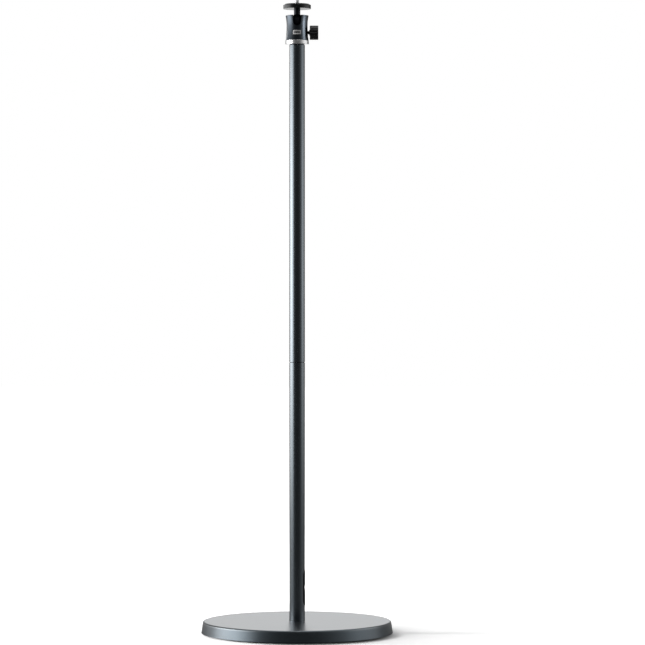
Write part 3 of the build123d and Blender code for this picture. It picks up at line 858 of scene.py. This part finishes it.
def white_room():
    """White for the camera, a studio for glossy rays and a soft light for the rest."""
    world = bpy.data.worlds.new("white_room")
    sky = NodeTree(world)
    direction = sky.add("ShaderNodeTexCoord", {}, {}, "Generated")
    axes = {0: direction}
    right, back, up = (sky.add("ShaderNodeSeparateXYZ", {}, axes, axis) for axis in "XYZ")
    gaps = dark_gap * sky.rising(back, *gap_fade)
    boards = side_board * sky.rising(back, *board_fade) * (1 - gaps)
    glow = left_glow * sky.rising(back, *glow_front_fade) * (1 - sky.rising(back, *glow_back_fade))
    glow = glow * (1 - sky.rising(right, *glow_right_fade)) * (1 - sky.rising(up, *glow_top_fade))
    wall = sky.rising(back, *wall_front_fade) * (1 - sky.rising(abs(right), *wall_side_fade))
    room = dim_room + (boards + glow) * sky.rising(up, *floor_line_fade)
    room = room + (back_wall - room) * wall + ceiling_light * sky.rising(up, *ceiling_fade)
    soft_light = front_light + (back_light - front_light) * sky.rising(back, *soft_light_fade)
    direct_ray, glossy_ray = ray_kinds(sky)
    other_ray = (1 - direct_ray) * (1 - glossy_ray)
    light = direct_ray + glossy_ray * room + other_ray * soft_light
    sky.feed(sky.nodes["Background"].inputs["Color"], light)
    return world


bpy.context.scene.world = white_room()
print("soft light from", front_light, "in front to", back_light, "behind")

# %% [markdown]
# ## Soft boxes
# A large soft box on the left draws the bright line down the pole, and a weaker one on the right
# draws the second line. On a round pole a box at the side shows where the normal halves the angle
# between the camera and the box, so a box beside the stand is seen about halfway to the edge. A
# soft box is brightest in its middle, so each one is three nested area lamps.

# %% Soft box
lamp_shares = (1.0, 0.66, 0.40)
lamp_step = 0.01


def soft_box(name, place, size, brightness, only=None, through=None):
    """Nested area lamps that face the pole. Brightness is the radiance in the middle, 1 being white."""
    aim = Vector((0, 0, min(max(place[2], 0), stand_height)))
    towards_pole = (aim - Vector(place)).normalized()
    for number, share in enumerate(lamp_shares):
        lamp = bpy.data.lights.new(name, "AREA")
        lamp.shape = "RECTANGLE"
        lamp.size = share * size[0]
        lamp.size_y = share * size[1]
        lamp.energy = brightness / len(lamp_shares) * math.pi * lamp.size * lamp.size_y
        box = bpy.data.objects.new(name, lamp)
        box.location = Vector(place) + number * lamp_step * towards_pole
        box.rotation_euler = towards_pole.to_track_quat("-Z", "Y").to_euler()
        bpy.context.scene.collection.objects.link(box)
        box.light_linking.receiver_collection = only
        box.light_linking.blocker_collection = through
    print(f"{name}: {size[0]} x {size[1]} m, brightness {brightness}")


# %% [markdown]
# In a studio, flags and snoots keep a lamp off what it would spoil. Light linking does that here:
# a collection says which pieces a lamp reaches, or which it passes by. The top of the base and the
# polished ring would mirror the big box and the key light as plain white, so both lamps pass
# them by, and the ring, the skirt of the base and the housing have a box of their own. A narrow
# bright lamp lays the pole's long shadow on the paper, and a lamp below lights the bottom plate
# through the paper.

# %% Snoots
def snoot(name, nodes, state="INCLUDE"):
    """A collection of pieces, for a lamp that is to reach only them, or all but them."""
    reached = bpy.data.collections.new(name)
    for node in nodes:
        reached.objects.link(node)
    for link in reached.collection_objects:
        link.light_linking.link_state = state
    return reached


ring = frame["nodes"]["head_base_ring"]
cover = frame["nodes"]["base_cover"]
housing = frame["nodes"]["head_housing"]
underside = [frame["nodes"][n] for n in ("base_bottom_plate", "bottom_plate_screws", "pole_bolt")]
past_mirrors = snoot("past_mirrors", [ring, cover], "EXCLUDE")
on_ring = snoot("on_ring", [ring])
on_cover = snoot("on_cover", [cover])
on_head = snoot("on_head", [housing])
on_floor = snoot("on_floor", [floor])
under_base = snoot("under_base", underside)
through_floor = snoot("through_floor", [floor], "EXCLUDE")
print("one lamp of its own for", ring.name, cover.name, housing.name, "and the underside")

# %% Lamps
soft_box("left_soft_box", (-1.6, -0.02, 0.57), size=(2.26, 0.94), brightness=8.4, only=past_mirrors)
soft_box("ring_light", (-1.6, -0.40, 0.95), size=(1.70, 0.90), brightness=6.0, only=on_ring)
soft_box("right_soft_box", (1.7, 0.09, 0.60), size=(1.80, 0.94), brightness=1.7)
soft_box("head_light", (1.65, -0.32, 0.98), size=(0.80, 0.90), brightness=12.0, only=on_head)
soft_box("skirt_light", (-1.58, -0.18, 0.20), size=(1.90, 0.34), brightness=9.0, only=on_cover)
soft_box("under_light", (0, 0, -1.2), size=(1.60, 1.60), brightness=1.2, only=under_base,
         through=through_floor)
soft_box("streak_light", (-1.40, 0.0, 1.30), size=(0.16, 0.50), brightness=90.0, only=on_floor)
soft_box("key_light", (-1.0, 1.30, 1.60), size=(1.10, 1.10), brightness=9.0, only=past_mirrors)

# %% [markdown]
# ## Colours as they are written
# The Standard view shows a colour as it was written, with no film curve over it.

# %% View
bpy.context.scene.view_settings.view_transform = "Standard"
